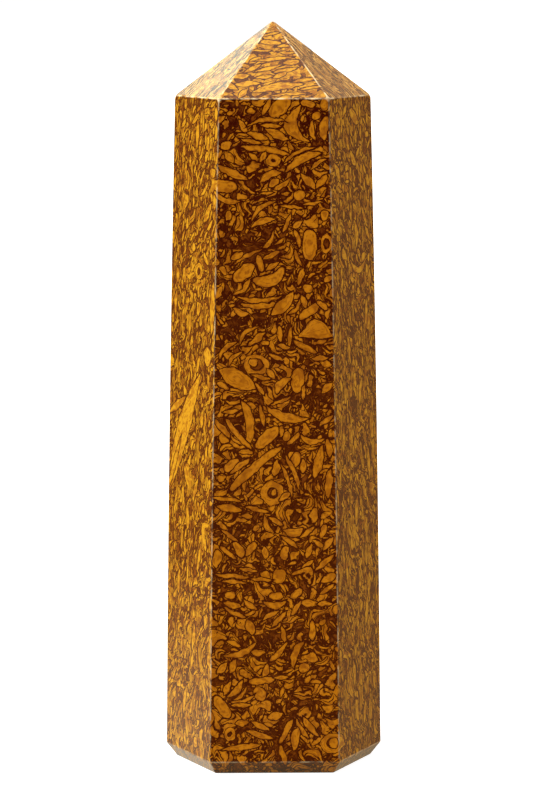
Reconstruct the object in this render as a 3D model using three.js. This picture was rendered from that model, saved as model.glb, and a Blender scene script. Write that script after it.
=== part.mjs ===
// A polished jasper tower: one stone cut as a six-sided shaft that narrows upwards,
// with a six-facet point on top and a chamfered foot that it stands on.
// Millimetres, +Z up. The origin is the middle of the base, and the front face looks to -Y.
import * as THREE from "three";
import { LoftGeometry } from "three/addons/geometries/LoftGeometry.js";

// Heights above the base.
const FOOT_HEIGHT = 1.83; // top of the chamfer, where the shaft is widest
const SHOULDER_HEIGHT = 90.15; // the shaft ends and the point begins
const APEX_HEIGHT = 100; // where the six top facets would meet if the tip were sharp

// Half sizes of the six-sided section: half the front face's width, half the width
// across the two side arrises, and half the depth from front face to back face.
const FOOT_SIZE = { face: 8.65, side: 14.69, depth: 10.8 };
const SHOULDER_SIZE = { face: 7.16, side: 13.05, depth: 10.0 };

// The flats are hand lapped, so the shaft swells a little halfway up.
const SWELL = { face: 0.16, side: 0.18, depth: 0.14 };

const CHAMFER_INSET = 1.27; // how far the base face stands in from the shaft's faces
const ARRIS_RADIUS = 0.45; // rounding of the long arrises and of the point's ridges
const EASE = 0.3; // how far each crosswise edge is worn back along its two faces
const TIP_WEAR = 0.18; // height that the apex has lost to polishing
const TIP_FLAT = 0.1; // share of that wear which leaves the tip's last small flat

// How finely the rounded parts are faceted.
const ARC_STEPS = 3;
const SHAFT_STEPS = 12;
const POINT_STEPS = 3;
const TIP_STEPS = 4;

const SIZE_NAMES = ["face", "side", "depth"];

// The six sharp corners of a section, counterclockwise from the right-hand arris.
function cornersOf({ face, side, depth }) {
  const places = [
    [side, 0],
    [face, depth],
    [-face, depth],
    [-side, 0],
    [-face, -depth],
    [face, -depth],
  ];
  return places.map(([x, y]) => new THREE.Vector2(x, y));
}

// A section whose faces all stand in by the same distance.
function insetSize({ face, side, depth }, distance) {
  const slope = depth / (side - face);
  const lean = Math.hypot(1, slope) / slope;
  const insetSide = side - distance * lean;
  const insetDepth = depth - distance;
  return { face: insetSide - insetDepth / slope, side: insetSide, depth: insetDepth };
}

// A section between two others, at the given share of the way from low to high.
function between(low, high, share) {
  const section = { height: THREE.MathUtils.lerp(low.height, high.height, share) };
  for (const name of SIZE_NAMES) {
    section[name] = THREE.MathUtils.lerp(low[name], high[name], share);
  }
  return section;
}

// The sections from one crosswise edge to the next, short of each edge by the ease.
function stretch(low, high, steps) {
  const length = Math.hypot(high.depth - low.depth, high.height - low.height);
  const first = EASE / length;
  const last = 1 - first;
  const shares = Array.from({ length: steps + 1 }, (_, i) => first + ((last - first) * i) / steps);
  return shares.map((share) => between(low, high, share));
}

// The shaft's sections, each swollen by its place between foot and shoulder.
function swollen(sections) {
  return sections.map((section) => {
    const share = (section.height - FOOT_HEIGHT) / (SHOULDER_HEIGHT - FOOT_HEIGHT);
    const amount = 4 * share * (1 - share);
    const result = { height: section.height };
    for (const name of SIZE_NAMES) result[name] = section[name] + SWELL[name] * amount;
    return result;
  });
}

// The worn tip, which leaves the straight facets gently and ends in a tiny flat.
function tipSections(shoulder) {
  const rise = APEX_HEIGHT - shoulder.height;
  return Array.from({ length: TIP_STEPS }, (_, i) => {
    const wear = TIP_WEAR * (1 + TIP_FLAT + 2 * (1 - (i + 1) / TIP_STEPS) ** 2);
    const share = Math.sqrt(wear ** 2 - TIP_WEAR ** 2) / rise;
    const section = { height: APEX_HEIGHT - wear };
    for (const name of SIZE_NAMES) section[name] = shoulder[name] * share;
    return section;
  });
}

// One closed ring of points, with an arc in place of each corner.
function ring(section) {
  const corners = cornersOf(section);
  return corners.flatMap((corner, i) => {
    const before = corners[(i + 5) % 6].clone().sub(corner);
    const after = corners[(i + 1) % 6].clone().sub(corner);
    const turn = Math.PI - Math.abs(before.angleTo(after));
    const shortSide = Math.min(before.length(), after.length());
    const reach = Math.min(ARRIS_RADIUS * Math.tan(turn / 2), shortSide / 4);
    const start = corner.clone().addScaledVector(before.normalize(), reach);
    const end = corner.clone().addScaledVector(after.normalize(), reach);
    const arc = new THREE.QuadraticBezierCurve(start, corner, end).getPoints(ARC_STEPS);
    return arc.map(({ x, y }) => new THREE.Vector3(x, y, section.height));
  });
}

function makeTower() {
  const base = { height: 0, ...insetSize(FOOT_SIZE, CHAMFER_INSET) };
  const foot = { height: FOOT_HEIGHT, ...FOOT_SIZE };
  const shoulder = { height: SHOULDER_HEIGHT, ...SHOULDER_SIZE };
  const apex = { height: APEX_HEIGHT, face: 0, side: 0, depth: 0 };
  const sections = [
    { height: 0, ...insetSize(base, EASE) },
    ...stretch(base, foot, 1),
    ...swollen(stretch(foot, shoulder, SHAFT_STEPS)),
    ...stretch(shoulder, apex, POINT_STEPS).slice(0, -1),
    ...tipSections(shoulder),
  ];
  const geometry = new LoftGeometry(sections.map(ring), { capStart: true, capEnd: true });
  const polishedJasper = new THREE.MeshStandardMaterial({
    color: 0x8a4b10,
    roughness: 0.15,
    metalness: 0,
  });
  const mesh = new THREE.Mesh(geometry, polishedJasper);
  mesh.name = "tower";
  return mesh;
}

const part = new THREE.Group();
part.add(makeTower());

export default part;
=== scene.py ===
"""Finishes a polished jasper tower: rounds its arrises, gives the stone its flake pattern
and stands it in a plain pale studio. Lengths are metres, +Z is up, the base is at zero
and the wide front face looks to -Y."""
import math
import random
from functools import partialmethod

import bpy
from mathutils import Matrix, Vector


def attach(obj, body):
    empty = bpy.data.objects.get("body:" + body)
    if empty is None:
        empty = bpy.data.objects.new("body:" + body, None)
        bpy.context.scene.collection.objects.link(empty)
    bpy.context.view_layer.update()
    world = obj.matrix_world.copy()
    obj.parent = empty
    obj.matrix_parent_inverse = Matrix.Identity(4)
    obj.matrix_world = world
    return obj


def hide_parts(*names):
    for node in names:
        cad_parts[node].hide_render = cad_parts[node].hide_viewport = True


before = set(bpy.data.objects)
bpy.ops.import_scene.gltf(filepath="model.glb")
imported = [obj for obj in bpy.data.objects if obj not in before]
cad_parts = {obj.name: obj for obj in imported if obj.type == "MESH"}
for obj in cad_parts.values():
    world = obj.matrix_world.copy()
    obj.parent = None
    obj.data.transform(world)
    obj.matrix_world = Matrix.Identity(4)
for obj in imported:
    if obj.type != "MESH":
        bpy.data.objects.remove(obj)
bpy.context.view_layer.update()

bl_info = {
    "name": "Jasper Tower",
    "version": (1, 0, 0),
    "blender": (4, 5, 0),
    "location": "View3D > Sidebar > Jasper Tower",
    "description": "Builds a polished jasper tower and a plain studio for it",
    "category": "Add Mesh",
}

MM = 0.001
PHOTO_HEIGHT = 799  # pixels, the picture's longer side
SENSOR_SIZE = 36.0  # mm, along the picture's longer side
SHAFT_STEPS = 12  # rows of faces up the shaft
CORNER_WEAR = "bevel_weight_vert"  # the attribute that a bevel of corners reads
ARRIS_WEAR_AND_HIGHLIGHT = "worn"  # the attribute that the stone's material reads
NUMBER = "NodeSocketFloat"
VECTOR = "NodeSocketVector"


# Sizes, colours and studio settings

def length_setting(name, description, default):
    """A setting for a length, with its default in mm."""
    return bpy.props.FloatProperty(
        name=name, description=description, default=default * MM, unit="LENGTH", precision=5)


def section_setting(name, description, default):
    """A setting for a section's half front face, half width and half depth, in mm."""
    return bpy.props.FloatVectorProperty(
        name=name, description=description, default=[part * MM for part in default],
        unit="LENGTH", precision=5)


def angle_setting(name, description, default):
    """A setting for an angle, with its default in degrees."""
    return bpy.props.FloatProperty(
        name=name, description=description, default=math.radians(default), unit="ROTATION")


def colour_setting(name, description, default):
    """A setting for a colour, as scene-linear values."""
    return bpy.props.FloatVectorProperty(
        name=name, description=description, default=default, subtype="COLOR", min=0, max=1)


class TowerSizes(bpy.types.PropertyGroup):
    """Heights and half sizes of the cut stone."""

    foot_height: length_setting("Foot height", "Height of the chamfer round the foot", 1.83)
    shoulder_height: length_setting(
        "Shoulder height", "Height at which the shaft ends and the point begins", 90.15)
    apex_height: length_setting(
        "Apex height", "Height at which the six top facets would meet", 100.0)
    foot_size: section_setting(
        "Foot size", "Half front face, half width and half depth above the chamfer",
        (8.65, 14.69, 10.8))
    shoulder_size: section_setting(
        "Shoulder size", "Half front face, half width and half depth at the shoulder",
        (7.16, 13.05, 10.0))
    swell: section_setting(
        "Swell", "How much the hand-lapped shaft gains halfway up, in the same order",
        (0.16, 0.18, 0.14))
    chamfer_inset: length_setting(
        "Chamfer inset", "How far the base face stands in from the shaft's faces", 1.27)
    arris_width: length_setting(
        "Arris width", "How far each arris is rounded back along its two faces", 0.15)
    corner_wear: length_setting(
        "Corner wear", "How far each corner of the shoulder is worn back", 0.4)


class JasperColours(bpy.types.PropertyGroup):
    """Colours of the stone, as scene-linear values."""

    flake: colour_setting("Flake", "Golden brown of the flakes", (0.415, 0.136, 0.0036))
    flake_pale: colour_setting(
        "Pale flake", "Lighter honey of a few flakes", (0.455, 0.156, 0.0046))
    flake_across: colour_setting(
        "Flake cut across", "Yellower honey of flakes that a face cuts across",
        (0.490, 0.225, 0.0080))
    # Paler flakes for the point's side facets: a painted highlight, not the stone's own colour.
    flake_with_painted_highlight: colour_setting(
        "Flake with painted highlight", "Pale honey of flakes in the point's side facets",
        (0.600, 0.310, 0.060))
    flake_edge: colour_setting(
        "Flake edge", "Brown of a flake's edge and of its growth lines",
        (0.230, 0.062, 0.0028))
    open_ground: colour_setting(
        "Open ground", "Red-brown of the ground away from the flakes", (0.150, 0.0340, 0.0020))
    ground: colour_setting(
        "Ground", "Dark red-brown ground between the flakes", (0.037, 0.0026, 0.0005))
    # Pale colour along the arrises: part bruising, part painted highlight.
    worn: colour_setting("Worn edge", "Pale bruising along the arrises", (0.95, 0.76, 0.48))


class StudioSettings(bpy.types.PropertyGroup):
    """Camera and light."""

    camera_distance: length_setting(
        "Camera distance", "Level distance from the tower's axis to the camera", 409.5)
    camera_height: length_setting("Camera height", "Height of the camera above the floor", 109.2)
    camera_azimuth: angle_setting(
        "Camera azimuth", "Turn of the camera's place round the tower", -0.71)
    camera_heading: angle_setting(
        "Camera heading", "Direction in which the camera looks, seen from above", -0.596)
    camera_pitch: angle_setting("Camera pitch", "How far the camera looks down", 8.33)
    camera_roll: angle_setting("Camera roll", "How far the camera is turned about its view", 0.09)
    focal_pixels: bpy.props.FloatProperty(
        name="Focal length", description="Focal length in pixels of the picture",
        default=3069.0)
    floor_size: bpy.props.FloatProperty(
        name="Floor size", description="Side of the square floor", default=6.0, unit="LENGTH")
    key_strength: bpy.props.FloatProperty(
        name="Key light", description="Strength of the soft light at the upper left",
        default=7.0)
    fill_strength: bpy.props.FloatProperty(
        name="Fill light", description="Strength of the soft light at the right",
        default=1.08)
    sky_strength: bpy.props.FloatProperty(
        name="Sky", description="Strength of the even light from all round", default=0.29)


# Writing node trees as formulas

class Flow:
    """A value that flows through a node tree, so that nodes can be written as a formula."""

    def __init__(self, tree, socket):
        self.tree = tree
        self.socket = socket

    def _is_vector(self):
        return self.socket.type in {"VECTOR", "RGBA", "ROTATION"}

    def _combine(self, operation, *others):
        """The result of one of Blender's maths operations on this flow and others."""
        vector = self._is_vector() or any(isinstance(o, Flow) and o._is_vector() for o in others)
        vector = vector or any(isinstance(o, tuple) for o in others)
        kind = "ShaderNodeVectorMath" if vector else "ShaderNodeMath"
        node = self.tree.nodes.new(kind)
        node.operation = operation
        for place, value in enumerate((self, *others)):
            feed(self.tree, node.inputs[place], value)
        return Flow(self.tree, node.outputs[0])

    __add__ = partialmethod(_combine, "ADD")
    __sub__ = partialmethod(_combine, "SUBTRACT")
    __mul__ = partialmethod(_combine, "MULTIPLY")
    __truediv__ = partialmethod(_combine, "DIVIDE")
    times_plus = partialmethod(_combine, "MULTIPLY_ADD")
    power = partialmethod(_combine, "POWER")
    least = partialmethod(_combine, "MINIMUM")
    most = partialmethod(_combine, "MAXIMUM")
    above = partialmethod(_combine, "GREATER_THAN")
    below = partialmethod(_combine, "LESS_THAN")
    floor = partialmethod(_combine, "FLOOR")
    sign = partialmethod(_combine, "SIGN")
    absolute = partialmethod(_combine, "ABSOLUTE")
    root = partialmethod(_combine, "SQRT")
    fraction = partialmethod(_combine, "FRACT")

    def dot(self, other):
        """How far the vector reaches along another."""
        node = self.tree.nodes.new("ShaderNodeVectorMath")
        node.operation = "DOT_PRODUCT"
        feed(self.tree, node.inputs[0], self)
        feed(self.tree, node.inputs[1], other)
        return Flow(self.tree, node.outputs["Value"])

    def parts(self):
        """The vector's three numbers."""
        node = self.tree.nodes.new("ShaderNodeSeparateXYZ")
        feed(self.tree, node.inputs[0], self)
        return [Flow(self.tree, socket) for socket in node.outputs]

    def turned(self, angles):
        """The vector, turned about the origin by three angles."""
        node = self.tree.nodes.new("ShaderNodeVectorRotate")
        node.rotation_type = "EULER_XYZ"
        feed(self.tree, node.inputs["Vector"], self)
        feed(self.tree, node.inputs["Rotation"], angles)
        return Flow(self.tree, node.outputs[0])

    def eased(self, low, high, to_low=0.0, to_high=1.0):
        """The number carried smoothly from one range to another."""
        node = self.tree.nodes.new("ShaderNodeMapRange")
        node.interpolation_type = "SMOOTHSTEP"
        for name, value in zip(("Value", "From Min", "From Max", "To Min", "To Max"),
                               (self, low, high, to_low, to_high)):
            feed(self.tree, node.inputs[name], value)
        return Flow(self.tree, node.outputs[0])


def feed(tree, socket, value):
    """Links a flow to a socket, or sets the socket's own value."""
    if isinstance(value, Flow):
        tree.links.new(value.socket, socket)
    elif socket.type == "RGBA":
        socket.default_value = (*value[:3], 1.0)
    elif hasattr(socket.default_value, "__len__") and not hasattr(value, "__len__"):
        socket.default_value = (value,) * len(socket.default_value)
    else:
        socket.default_value = value


def vector_of(tree, x, y, z):
    """Three numbers as one vector."""
    node = tree.nodes.new("ShaderNodeCombineXYZ")
    for socket, value in zip(node.inputs, (x, y, z)):
        feed(tree, socket, value)
    return Flow(tree, node.outputs[0])


def mixed(tree, kind, share, first, second):
    """Two flows mixed by a share: kind is FLOAT, VECTOR or RGBA."""
    node = tree.nodes.new("ShaderNodeMix")
    node.data_type = kind
    node.clamp_factor = True
    wanted = {"FLOAT": "VALUE"}.get(kind, kind)
    inputs = [s for s in node.inputs if s.enabled and s.type == wanted and s.name in "AB"]
    feed(tree, [s for s in node.inputs if s.enabled and s.name == "Factor"][0], share)
    feed(tree, inputs[0], first)
    feed(tree, inputs[1], second)
    return Flow(tree, [s for s in node.outputs if s.enabled][0])


def noise(tree, place, scale, detail=1.0, roughness=0.5, output="Factor"):
    """Smooth noise at a place."""
    node = tree.nodes.new("ShaderNodeTexNoise")
    feed(tree, node.inputs["Vector"], place)
    feed(tree, node.inputs["Scale"], scale)
    feed(tree, node.inputs["Detail"], detail)
    feed(tree, node.inputs["Roughness"], roughness)
    return Flow(tree, node.outputs["Color" if output == "Color" else 0])


def dice(tree, cell, throw):
    """Three random numbers for a cell."""
    noisy = tree.nodes.new("ShaderNodeTexWhiteNoise")
    noisy.noise_dimensions = "4D"
    feed(tree, noisy.inputs["Vector"], cell)
    feed(tree, noisy.inputs["W"], throw)
    split = tree.nodes.new("ShaderNodeSeparateColor")
    tree.links.new(noisy.outputs["Color"], split.inputs["Color"])
    return [Flow(tree, socket) for socket in split.outputs]


def next_step(tree, kind, geometry, **values):
    """Passes geometry on through a new node, and returns what comes out."""
    node = tree.nodes.new(kind)
    tree.links.new(geometry, node.inputs["Geometry"])
    for name, value in values.items():
        feed(tree, node.inputs[name], value)
    return node.outputs["Geometry"]


def new_group(name, kind, inputs, outputs):
    """A node group with its named inputs as flows, and its output node."""
    tree = bpy.data.node_groups.new(name, kind)
    for label, socket_type, default in inputs:
        socket = tree.interface.new_socket(label, in_out="INPUT", socket_type=socket_type)
        if default is not None:
            socket.default_value = default
    for label, socket_type in outputs:
        tree.interface.new_socket(label, in_out="OUTPUT", socket_type=socket_type)
    source = tree.nodes.new("NodeGroupInput")
    target = tree.nodes.new("NodeGroupOutput")
    given = {label: Flow(tree, source.outputs[label]) for label, _, _ in inputs}
    return tree, given, target


def use_group(tree, group, **inputs):
    """Places a group in a tree and returns its outputs by name."""
    node = tree.nodes.new("ShaderNodeGroup")
    node.node_tree = group
    for label, value in inputs.items():
        feed(tree, node.inputs[label.replace("_", " ")], value)
    return {socket.name: Flow(tree, socket) for socket in node.outputs}


# The stone's shape

FLAT_ANGLE = 2.5  # degrees within which a face counts as part of a flat
ARRIS_ANGLE = 20  # degrees; two faces that meet more sharply get a rounded arris
ARRIS_SEGMENTS = 4
CLOSING_DISTANCE = 0.01 * MM


def inset_size(size, distance):
    """Half sizes of a six-sided section whose faces all stand in by the same distance."""
    face, side, depth = size
    slope = depth / (side - face)
    inset_side = side - distance * math.hypot(1, slope) / slope
    inset_depth = depth - distance
    return Vector((inset_side - inset_depth / slope, inset_side, inset_depth))


def tower_tree(material):
    """Geometry Nodes that shape a six-sided cylinder into the tower, ring by ring."""
    tree, given, target = new_group(
        "Six-sided tower", "GeometryNodeTree",
        [("Geometry", "NodeSocketGeometry", None), ("Foot height", NUMBER, 0.0),
         ("Shoulder height", NUMBER, 0.0), ("Apex height", NUMBER, 0.0),
         ("Base size", VECTOR, None), ("Foot size", VECTOR, None),
         ("Shoulder size", VECTOR, None), ("Swell", VECTOR, None)],
        [("Geometry", "NodeSocketGeometry")])
    rings = SHAFT_STEPS + 2
    cylinder = tree.nodes.new("GeometryNodeMeshCylinder")
    cylinder.fill_type = "NGON"
    for name, value in (("Vertices", 6), ("Side Segments", rings), ("Fill Segments", 1),
                        ("Radius", 1.0), ("Depth", float(rings))):
        cylinder.inputs[name].default_value = value

    # The ring that a point is on, and its share of the way up the shaft. The first ring is
    # the base, the second the chamfer's top, and the last two are the shoulder and the apex.
    place = Flow(tree, tree.nodes.new("GeometryNodeInputPosition").outputs[0])
    across, deep, level = place.parts()
    ring = level + rings / 2
    share = ((ring - 1.0) / float(SHAFT_STEPS)).most(0.0).least(1.0)
    is_base = ring.below(0.5)
    is_apex = ring.above(rings - 0.5)

    swelling = (share * (share * -1.0 + 1.0)) * 4.0  # 1 halfway up
    size = mixed(tree, "VECTOR", share, given["Foot size"], given["Shoulder size"])
    size = size + given["Swell"] * swelling
    size = mixed(tree, "VECTOR", is_base, size, given["Base size"])
    size = size * (is_apex * -1.0 + 1.0)
    face, side, depth = size.parts()
    # The cylinder has two corners at 1 across, the side arrises, and four at a half.
    half_width = mixed(tree, "FLOAT", across.absolute().above(0.75), face, side)
    height = mixed(tree, "FLOAT", share, given["Foot height"], given["Shoulder height"])
    height = mixed(tree, "FLOAT", is_base, height, 0.0)
    height = mixed(tree, "FLOAT", is_apex, height, given["Apex height"])
    corner = vector_of(tree, across.sign() * half_width,
                       deep / math.sin(math.radians(60)) * depth, height)

    # The shoulder's corners are the first to wear.
    is_shoulder = ring.above(rings - 1.5) - is_apex
    stone = next_step(tree, "GeometryNodeStoreNamedAttribute", cylinder.outputs["Mesh"],
                      Name=CORNER_WEAR, Value=is_shoulder)
    stone = next_step(tree, "GeometryNodeSetPosition", stone, Position=corner)
    stone = next_step(tree, "GeometryNodeMergeByDistance", stone, Distance=CLOSING_DISTANCE)
    stone = next_step(tree, "GeometryNodeRealizeInstances", stone)
    stone = next_step(tree, "GeometryNodeSetMaterial", stone, Material=material)
    tree.links.new(stone, target.inputs["Geometry"])
    return tree


def main_facets(sizes):
    """Outward normals of the flat faces: shaft, point, chamfer, and base."""
    def ring_corners(size, height):
        face, side, depth = size
        return [Vector((x, y, height)) for x, y in (
            (side, 0), (face, depth), (-face, depth), (-side, 0), (-face, -depth), (face, -depth))]

    base = ring_corners(inset_size(sizes.foot_size, sizes.chamfer_inset), 0.0)
    foot = ring_corners(sizes.foot_size, sizes.foot_height)
    shoulder = ring_corners(sizes.shoulder_size, sizes.shoulder_height)
    apex = [Vector((0, 0, sizes.apex_height))] * 6
    normals = [Vector((0, 0, -1))]
    for low, high in ((base, foot), (foot, shoulder), (shoulder, apex)):
        for i in range(6):
            along = low[(i + 1) % 6] - low[i]
            normals.append(along.cross(high[i] - low[i]).normalized())
    return normals


def mark_bruised_and_highlighted_edges(mesh, normals):
    """Stores where the arrises' bruising and painted highlight go: 1 in the middle of a
    rounded arris, 0 on the flats.
    """
    flat_cosine = math.cos(math.radians(FLAT_ANGLE))
    on_flats = set()
    for polygon in mesh.polygons:
        if max(polygon.normal.dot(n) for n in normals) > flat_cosine:
            on_flats.update(polygon.vertices)
    worn = mesh.attributes.new(ARRIS_WEAR_AND_HIGHLIGHT, "FLOAT", "POINT")
    for i, vertex_wear in enumerate(worn.data):
        vertex_wear.value = float(i not in on_flats)


def make_tower_mesh(sizes, material):
    """The tower as one plain mesh: shaped by Geometry Nodes, then rounded by a bevel."""
    blank = bpy.data.meshes.new("tower blank")
    piece = bpy.data.objects.new("polished_tower", blank)
    bpy.context.scene.collection.objects.link(piece)
    tree = tower_tree(material)
    shaping = piece.modifiers.new("Shape", "NODES")
    shaping.node_group = tree
    values = {
        "Foot height": sizes.foot_height, "Shoulder height": sizes.shoulder_height,
        "Apex height": sizes.apex_height,
        "Base size": tuple(inset_size(sizes.foot_size, sizes.chamfer_inset)),
        "Foot size": tuple(sizes.foot_size), "Shoulder size": tuple(sizes.shoulder_size),
        "Swell": tuple(sizes.swell),
    }
    for item in tree.interface.items_tree:
        if item.in_out == "INPUT" and item.name in values:
            shaping[item.identifier] = values[item.name]
    corners = piece.modifiers.new("Worn corners", "BEVEL")
    corners.affect = "VERTICES"
    corners.width = sizes.corner_wear
    corners.segments = 1
    corners.limit_method = "WEIGHT"
    rounding = piece.modifiers.new("Rounded arrises", "BEVEL")
    rounding.width = sizes.arris_width
    rounding.segments = ARRIS_SEGMENTS
    rounding.limit_method = "ANGLE"
    rounding.angle_limit = math.radians(ARRIS_ANGLE)
    rounding.harden_normals = True

    graph = bpy.context.evaluated_depsgraph_get()
    mesh = bpy.data.meshes.new_from_object(piece.evaluated_get(graph))
    mesh.name = "polished_tower"
    piece.modifiers.clear()
    piece.data = mesh
    mesh.attributes.remove(mesh.attributes[CORNER_WEAR])
    mark_bruised_and_highlighted_edges(mesh, main_facets(sizes))
    return piece


# The stone's pattern, in mm

FAR = 9.0  # mm, deeper than any flake is thick
VANISHING = 1e-7  # a share too small to see

# What a layer's flakes are drawn from, each as a spread and a least value.
CELL_MIDDLE = (0.12, 0.44)  # share of the cell
LEAN = (0.28, -0.14)  # radians
HALF_LENGTH = (0.22, 0.25)  # share of the cell
BREADTH = (0.8, 0.4)  # share of the half length
HALF_DEPTH = (0.18, 0.30)  # share of the sheet
TAPER_POWER = (2.2, 1.3)
WHOLE_SHARE = 0.55  # the other flakes are split lengthwise into slats
SLATS_PER_MM = 1.6

# How far each row slides along, and each column and row of sheets slides up, in cells, so
# that no joints line up.
ROW_SLIDE, COLUMN_CLIMB, ROW_CLIMB = 0.618, 0.754, 0.569


def flake_layer_group():
    """One layer of flakes, laid over what is already there. The layer is a stack of thin
    sheets, tilted as a whole, with one bent, dished lens in each cell of each sheet.
    Depth is how far a place lies inside the topmost flake, in mm, and is negative in the
    ground. Mark holds that flake's tone and its own two axes."""
    tree, given, target = new_group(
        "Flake layer", "ShaderNodeTree",
        [("Place", VECTOR, None), ("Depth", NUMBER, 0.0), ("Mark", VECTOR, None),
         ("Flow", NUMBER, 0.0), ("Scatter", NUMBER, 1.0),
         ("Cell", NUMBER, 2.0), ("Sheet", NUMBER, 0.8), ("Grid turn", VECTOR, None),
         ("Grid shift", VECTOR, None), ("Slimness", NUMBER, 0.6), ("Bend", NUMBER, 0.5),
         ("Presence", NUMBER, 0.8), ("Rim", NUMBER, 0.13)],
        [("Place", VECTOR), ("Depth", NUMBER), ("Mark", VECTOR)])
    cell_size, sheet = given["Cell"], given["Sheet"]
    x, y, z = (given["Place"].turned(given["Grid turn"]) + given["Grid shift"]).parts()

    z = z / cell_size
    row = z.floor()
    x = x / cell_size + row * ROW_SLIDE
    column = x.floor()
    y = y / sheet + column * COLUMN_CLIMB + row * ROW_CLIMB
    cell = vector_of(tree, column, y.floor(), row)
    roam = dice(tree, cell, 1.0)
    size = dice(tree, cell, 2.0)
    u = (x - column - roam[0].times_plus(*CELL_MIDDLE)) * cell_size
    v = (y - y.floor() - 0.5) * sheet
    w = (z - row - roam[2].times_plus(*CELL_MIDDLE)) * cell_size
    heading = roam[1].times_plus(given["Scatter"], given["Flow"])
    lean = vector_of(tree, size[1].times_plus(*LEAN), heading, size[2].times_plus(*LEAN))
    u, v, w = vector_of(tree, u, v, w).turned(lean).parts()
    half_length = size[0].times_plus(*HALF_LENGTH) * cell_size
    half_width = size[1].times_plus(*BREADTH) * half_length * given["Slimness"]
    half_depth = size[2].times_plus(*HALF_DEPTH) * sheet
    stretch = (u / half_length).absolute()
    bow = (stretch * stretch - 0.3) * given["Bend"]
    w = (bow * half_length).times_plus(roam[0] - 0.5, w)
    v = (bow * sheet).times_plus(roam[2] - 0.5, v)
    across = w / half_width
    through = v / half_depth
    reach = across.times_plus(across, through * through).root()
    taper = stretch.power(size[0].times_plus(*TAPER_POWER))
    depth = (reach + taper).times_plus(-1.0, 1.0) * (half_width * half_depth).root()
    slat = (w.times_plus(SLATS_PER_MM, roam[2]).fraction() - 0.5).absolute()
    whole = size[2].below(WHOLE_SHARE)
    depth = depth.least(whole.times_plus(FAR, slat.times_plus(0.62, -0.06)))
    depth = roam[1].above(given["Presence"]).times_plus(-FAR, depth)
    beneath = given["Depth"].least(depth.times_plus(-1.0, given["Rim"] * -1.0))
    covers = depth.above(0.0)
    mark = mixed(tree, "VECTOR", covers, given["Mark"], vector_of(tree, size[0], u, w))
    depth = depth.most(beneath)
    # The next layer starts from this one's result, by a vanishing amount, so that a
    # renderer works through the layers one after another and keeps few values at a time.
    after = given["Place"] + vector_of(tree, 0.0, depth * VANISHING, 0.0)
    tree.links.new(after.socket, target.inputs["Place"])
    tree.links.new(depth.socket, target.inputs["Depth"])
    tree.links.new(mark.socket, target.inputs["Mark"])
    return tree


def three_flakes_group(with_walls):
    """Three bent flakes that lie well apart, laid over what is already there. Each vector
    holds the same value of the three. A place reads 1 along at a flake's ends and 1 across
    at its edges, and a wall leaves only a ring of a flake."""
    tree, given, target = new_group(
        "Three rings" if with_walls else "Three flakes", "ShaderNodeTree",
        [("Sideways", VECTOR, None), ("Height", VECTOR, None), ("Depth", NUMBER, 0.0),
         ("Along x", VECTOR, None), ("Along z", VECTOR, None), ("Along start", VECTOR, None),
         ("Across x", VECTOR, None), ("Across z", VECTOR, None), ("Across start", VECTOR, None),
         ("Sag", VECTOR, None), ("Bluntness", VECTOR, None), ("Roundness", VECTOR, None),
         ("Size", VECTOR, None), ("Wall", VECTOR, None), ("Rim", NUMBER, 0.14)],
        [("Height", VECTOR), ("Depth", NUMBER)])
    sideways, height = given["Sideways"], given["Height"]
    stretch = height.times_plus(given["Along z"], given["Along start"])
    stretch = sideways.times_plus(given["Along x"], stretch)
    stretch = stretch * stretch
    aside = height.times_plus(given["Across z"], given["Across start"])
    aside = sideways.times_plus(given["Across x"], aside)
    aside = stretch.times_plus(given["Sag"], aside).absolute()

    # Blunt flakes fall off with the fourth power along, and round ones with the square across.
    blunt = stretch.times_plus(given["Bluntness"], given["Bluntness"].times_plus(-1.0, 1.0))
    rounded = aside.times_plus(given["Roundness"], given["Roundness"].times_plus(-1.0, 1.0))
    edge = stretch.times_plus(blunt, aside * rounded)
    inside = edge.times_plus(given["Size"] * -1.0, given["Size"])
    first, second, third = inside.parts()
    covered = first.most(second).most(third)
    beneath = given["Depth"].least(covered.times_plus(-1.0, given["Rim"] * -1.0))
    if with_walls:
        first, second, third = inside.least(given["Wall"] - inside).parts()
        covered = first.most(second).most(third)
    depth = covered.most(beneath)
    # A vanishing step, so that a renderer works through the groups one after another.
    step = vector_of(tree, depth, depth, depth)
    tree.links.new(step.times_plus(VANISHING, height).socket, target.inputs["Height"])
    tree.links.new(depth.socket, target.inputs["Depth"])
    return tree


# Where a listed flake's row leaves them out: bend, bluntness and, for a ring, its wall.
FLAKE_DEFAULTS = (0, 2, 0)
SAG_LIFT = 0.3  # share of a bent flake's sag by which its middle is set back
SHARPEST, BLUNTEST = 2.2, 4.2  # the bluntness of a pointed and of a square end
ROUNDED_EDGE = 2.0  # the bluntness above which a flake's long edges are rounded too
LEAST_ROUNDNESS = 0.12


def flake_numbers(flake):
    """A listed flake as the numbers that a group of three takes."""
    sideways, height, length, width, heading, *others = flake
    bend, bluntness, wall = (*others, *FLAKE_DEFAULTS[len(others):])
    angle = math.radians(heading)
    along = Vector((math.cos(angle), math.sin(angle))) * (2 / length)
    across = Vector((-math.sin(angle), math.cos(angle))) * (2 / width)
    middle = Vector((sideways, height))
    sag = bend * length / width
    square_ends = (bluntness - SHARPEST) / (BLUNTEST - SHARPEST)
    roundness = min(1.0, max(LEAST_ROUNDNESS, bluntness - ROUNDED_EDGE))
    size = width / 2 / (1 + roundness)
    limit = (1 - (1 - 2 * wall / width) ** 2) * size if wall else FAR
    return {
        "Along_x": along.x, "Along_z": along.y, "Along_start": -middle.dot(along),
        "Across_x": across.x, "Across_z": across.y,
        "Across_start": -middle.dot(across) - SAG_LIFT * sag,
        "Sag": sag, "Bluntness": min(1.0, max(0.0, square_ends)),
        "Roundness": 1.0 if wall else roundness, "Size": size, "Wall": limit}


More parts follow.
